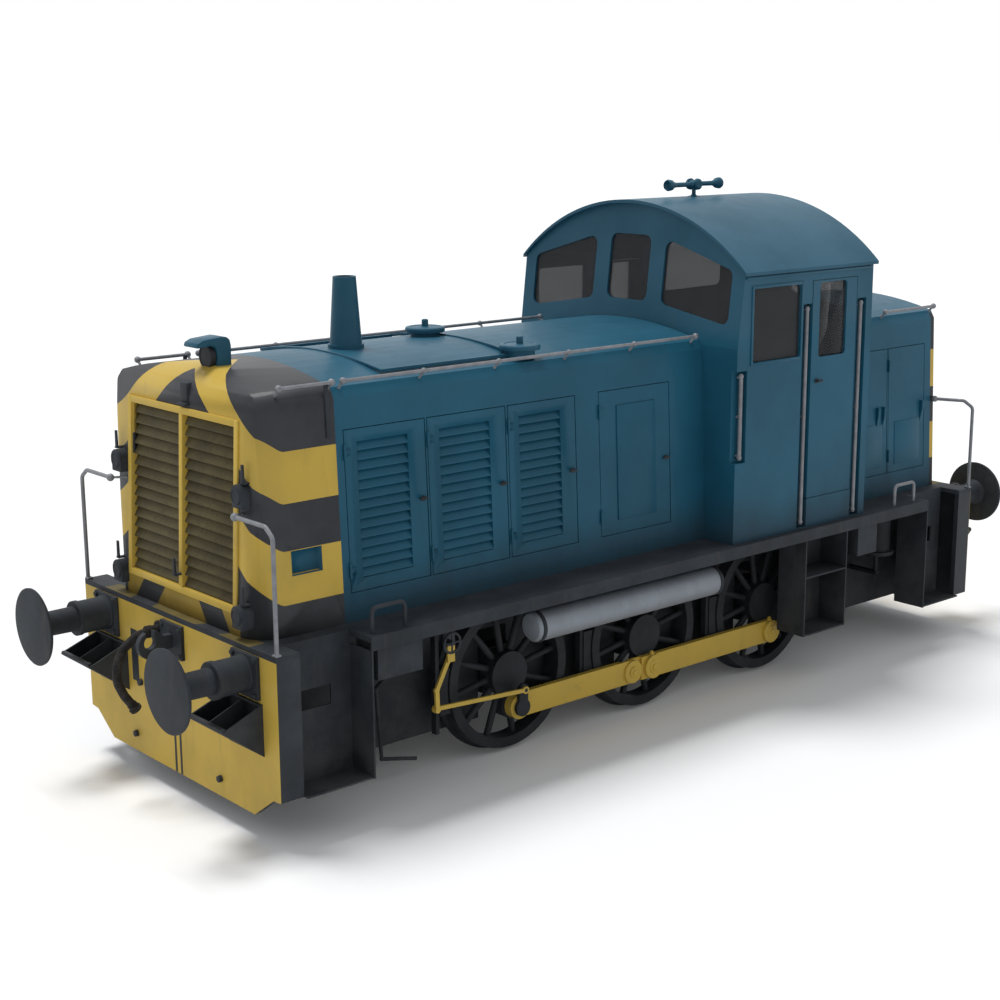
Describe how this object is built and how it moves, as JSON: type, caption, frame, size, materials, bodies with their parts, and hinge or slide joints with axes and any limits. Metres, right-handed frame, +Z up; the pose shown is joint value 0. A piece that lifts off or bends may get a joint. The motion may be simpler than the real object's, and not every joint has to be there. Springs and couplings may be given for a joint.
{
  "type": "six-wheel diesel shunting locomotive",
  "caption": "Rigid-frame diesel shunting locomotive with outside coupling rods, a long louvred bonnet, an arched-roof cab and a short rear bonnet.",
  "frame": {"origin": "midway between the buffer faces on the centre line, level with the flange tips", "axes": "+X towards the long bonnet's end, +Y to the left side, +Z up"},
  "size_m": [8.166, 2.482, 3.8559],
  "materials": {
    "blue_paint": "semi-gloss",
    "yellow_paint": "semi-gloss",
    "black_paint": "satin",
    "running_gear": "satin",
    "rail_grey": "satin",
    "reservoir_grey": "satin",
    "grille_paint": "satin",
    "window_glass": "clear",
    "hose_rubber": "matte",
    "interior_grey": "matte"
  },
  "bodies": {
    "locomotive": {"footplate": "black_paint", "frame_plates": "black_paint", "stretchers": "black_paint", "buffer_beams": "yellow_paint", "steps": "black_paint", "buffers": "black_paint", "draw_hooks": "black_paint", "brake_hoses": "hose_rubber", "bonnet": "blue_paint", "radiator_casing": "yellow_paint", "radiator_grille": "grille_paint", "rear_bonnet": "blue_paint", "cab": "blue_paint", "cab_roof": "blue_paint", "cab_glass": "window_glass", "cab_interior": "interior_grey", "exhaust_stack": "blue_paint", "bonnet_caps": "blue_paint", "lamps": "black_paint", "handrails": "rail_grey", "horn": "blue_paint", "drive_lever": "yellow_paint", "valve_wheel": "black_paint", "air_reservoirs": "reservoir_grey", "sand_gear": "black_paint", "brake_gear": "running_gear", "axleboxes": "running_gear", "machinery": "interior_grey"},
    "wheelset_front": {"wheelset_front": "running_gear"},
    "wheelset_middle": {"wheelset_middle": "running_gear"},
    "wheelset_rear": {"wheelset_rear": "running_gear"},
    "rods_left": {"rods_left": "yellow_paint"},
    "rods_right": {"rods_right": "yellow_paint"},
    "drive_link": {"drive_link": "yellow_paint"},
    "bonnet_door_left_1": {"bonnet_door_left_1": "blue_paint"},
    "bonnet_door_left_2": {"bonnet_door_left_2": "blue_paint"},
    "bonnet_door_left_3": {"bonnet_door_left_3": "blue_paint"},
    "bonnet_door_left_4": {"bonnet_door_left_4": "blue_paint"},
    "bonnet_door_right_1": {"bonnet_door_right_1": "blue_paint"},
    "bonnet_door_right_2": {"bonnet_door_right_2": "blue_paint"},
    "bonnet_door_right_3": {"bonnet_door_right_3": "blue_paint"},
    "bonnet_door_right_4": {"bonnet_door_right_4": "blue_paint"},
    "rear_door_left_1": {"rear_door_left_1": "blue_paint"},
    "rear_door_left_2": {"rear_door_left_2": "blue_paint"},
    "rear_door_right_1": {"rear_door_right_1": "blue_paint"},
    "rear_door_right_2": {"rear_door_right_2": "blue_paint"},
    "cab_door_left": {"cab_door_left": "blue_paint"},
    "cab_door_right": {"cab_door_right": "blue_paint"}
  },
  "joints": [
    {"name": "front_wheels_spin", "type": "hinge", "parent": "locomotive", "child": "wheelset_front", "pos_m": [1.36, 0, 0.5615], "axis": [0, 1, 0], "continuous": true},
    {"name": "middle_wheels_spin", "type": "hinge", "parent": "locomotive", "child": "wheelset_middle", "pos_m": [0.03, 0, 0.5615], "axis": [0, 1, 0], "continuous": true},
    {"name": "rear_wheels_spin", "type": "hinge", "parent": "locomotive", "child": "wheelset_rear", "pos_m": [-1.3, 0, 0.5615], "axis": [0, 1, 0], "continuous": true},
    {"name": "left_rods_turn", "type": "hinge", "parent": "wheelset_middle", "child": "rods_left", "pos_m": [-0.00201, 0.85, 0.33374], "axis": [0, 1, 0], "continuous": true},
    {"name": "right_rods_turn", "type": "hinge", "parent": "wheelset_middle", "child": "rods_right", "pos_m": [0.25776, -0.85, 0.52949], "axis": [0, 1, 0], "continuous": true},
    {"name": "drive_link_turn", "type": "hinge", "parent": "wheelset_front", "child": "drive_link", "pos_m": [1.3258, 0.94, 0.46753], "axis": [0, 1, 0], "continuous": true},
    {"name": "bonnet_door_left_1_hinge", "type": "hinge", "parent": "locomotive", "child": "bonnet_door_left_1", "pos_m": [2.7375, 0.8732, 1.93672], "axis": [0, 0.0436, -0.999], "range_deg": [0, 90]},
    {"name": "bonnet_door_left_2_hinge", "type": "hinge", "parent": "locomotive", "child": "bonnet_door_left_2", "pos_m": [2.0805, 0.8732, 1.93672], "axis": [0, 0.0436, -0.999], "range_deg": [0, 90]},
    {"name": "bonnet_door_left_3_hinge", "type": "hinge", "parent": "locomotive", "child": "bonnet_door_left_3", "pos_m": [1.3945, 0.8732, 1.93672], "axis": [0, 0.0436, -0.999], "range_deg": [0, 90]},
    {"name": "bonnet_door_left_4_hinge", "type": "hinge", "parent": "locomotive", "child": "bonnet_door_left_4", "pos_m": [0.5525, 0.8732, 1.93672], "axis": [0, 0.0436, -0.999], "range_deg": [0, 90]},
    {"name": "bonnet_door_right_1_hinge", "type": "hinge", "parent": "locomotive", "child": "bonnet_door_right_1", "pos_m": [2.7375, -0.8732, 1.93672], "axis": [0, 0.0436, 0.999], "range_deg": [0, 90]},
    {"name": "bonnet_door_right_2_hinge", "type": "hinge", "parent": "locomotive", "child": "bonnet_door_right_2", "pos_m": [2.0805, -0.8732, 1.93672], "axis": [0, 0.0436, 0.999], "range_deg": [0, 90]},
    {"name": "bonnet_door_right_3_hinge", "type": "hinge", "parent": "locomotive", "child": "bonnet_door_right_3", "pos_m": [1.3945, -0.8732, 1.93672], "axis": [0, 0.0436, 0.999], "range_deg": [0, 90]},
    {"name": "bonnet_door_right_4_hinge", "type": "hinge", "parent": "locomotive", "child": "bonnet_door_right_4", "pos_m": [0.5525, -0.8732, 1.93672], "axis": [0, 0.0436, 0.999], "range_deg": [0, 90]},
    {"name": "rear_door_left_1_hinge", "type": "hinge", "parent": "locomotive", "child": "rear_door_left_1", "pos_m": [-2.1175, 0.8732, 1.93672], "axis": [0, 0.0436, -0.999], "range_deg": [0, 90]},
    {"name": "rear_door_left_2_hinge", "type": "hinge", "parent": "locomotive", "child": "rear_door_left_2", "pos_m": [-2.7545, 0.8732, 1.93672], "axis": [0, 0.0436, -0.999], "range_deg": [0, 90]},
    {"name": "rear_door_right_1_hinge", "type": "hinge", "parent": "locomotive", "child": "rear_door_right_1", "pos_m": [-2.1175, -0.8732, 1.93672], "axis": [0, 0.0436, 0.999], "range_deg": [0, 90]},
    {"name": "rear_door_right_2_hinge", "type": "hinge", "parent": "locomotive", "child": "rear_door_right_2", "pos_m": [-2.7545, -0.8732, 1.93672], "axis": [0, 0.0436, 0.999], "range_deg": [0, 90]},
    {"name": "cab_door_left_hinge", "type": "hinge", "parent": "locomotive", "child": "cab_door_left", "pos_m": [-1.85, 1.128, 2.3], "axis": [0, 0, -1], "range_deg": [0, 90]},
    {"name": "cab_door_right_hinge", "type": "hinge", "parent": "locomotive", "child": "cab_door_right", "pos_m": [-1.85, -1.128, 2.3], "axis": [0, 0, 1], "range_deg": [0, 90]}
  ],
  "couplings": [
    {"joint": "front_wheels_spin", "follows": "middle_wheels_spin", "ratio": 1},
    {"joint": "rear_wheels_spin", "follows": "middle_wheels_spin", "ratio": 1},
    {"joint": "left_rods_turn", "follows": "middle_wheels_spin", "ratio": -1},
    {"joint": "right_rods_turn", "follows": "middle_wheels_spin", "ratio": -1},
    {"joint": "drive_link_turn", "follows": "middle_wheels_spin", "ratio": -1}
  ]
}
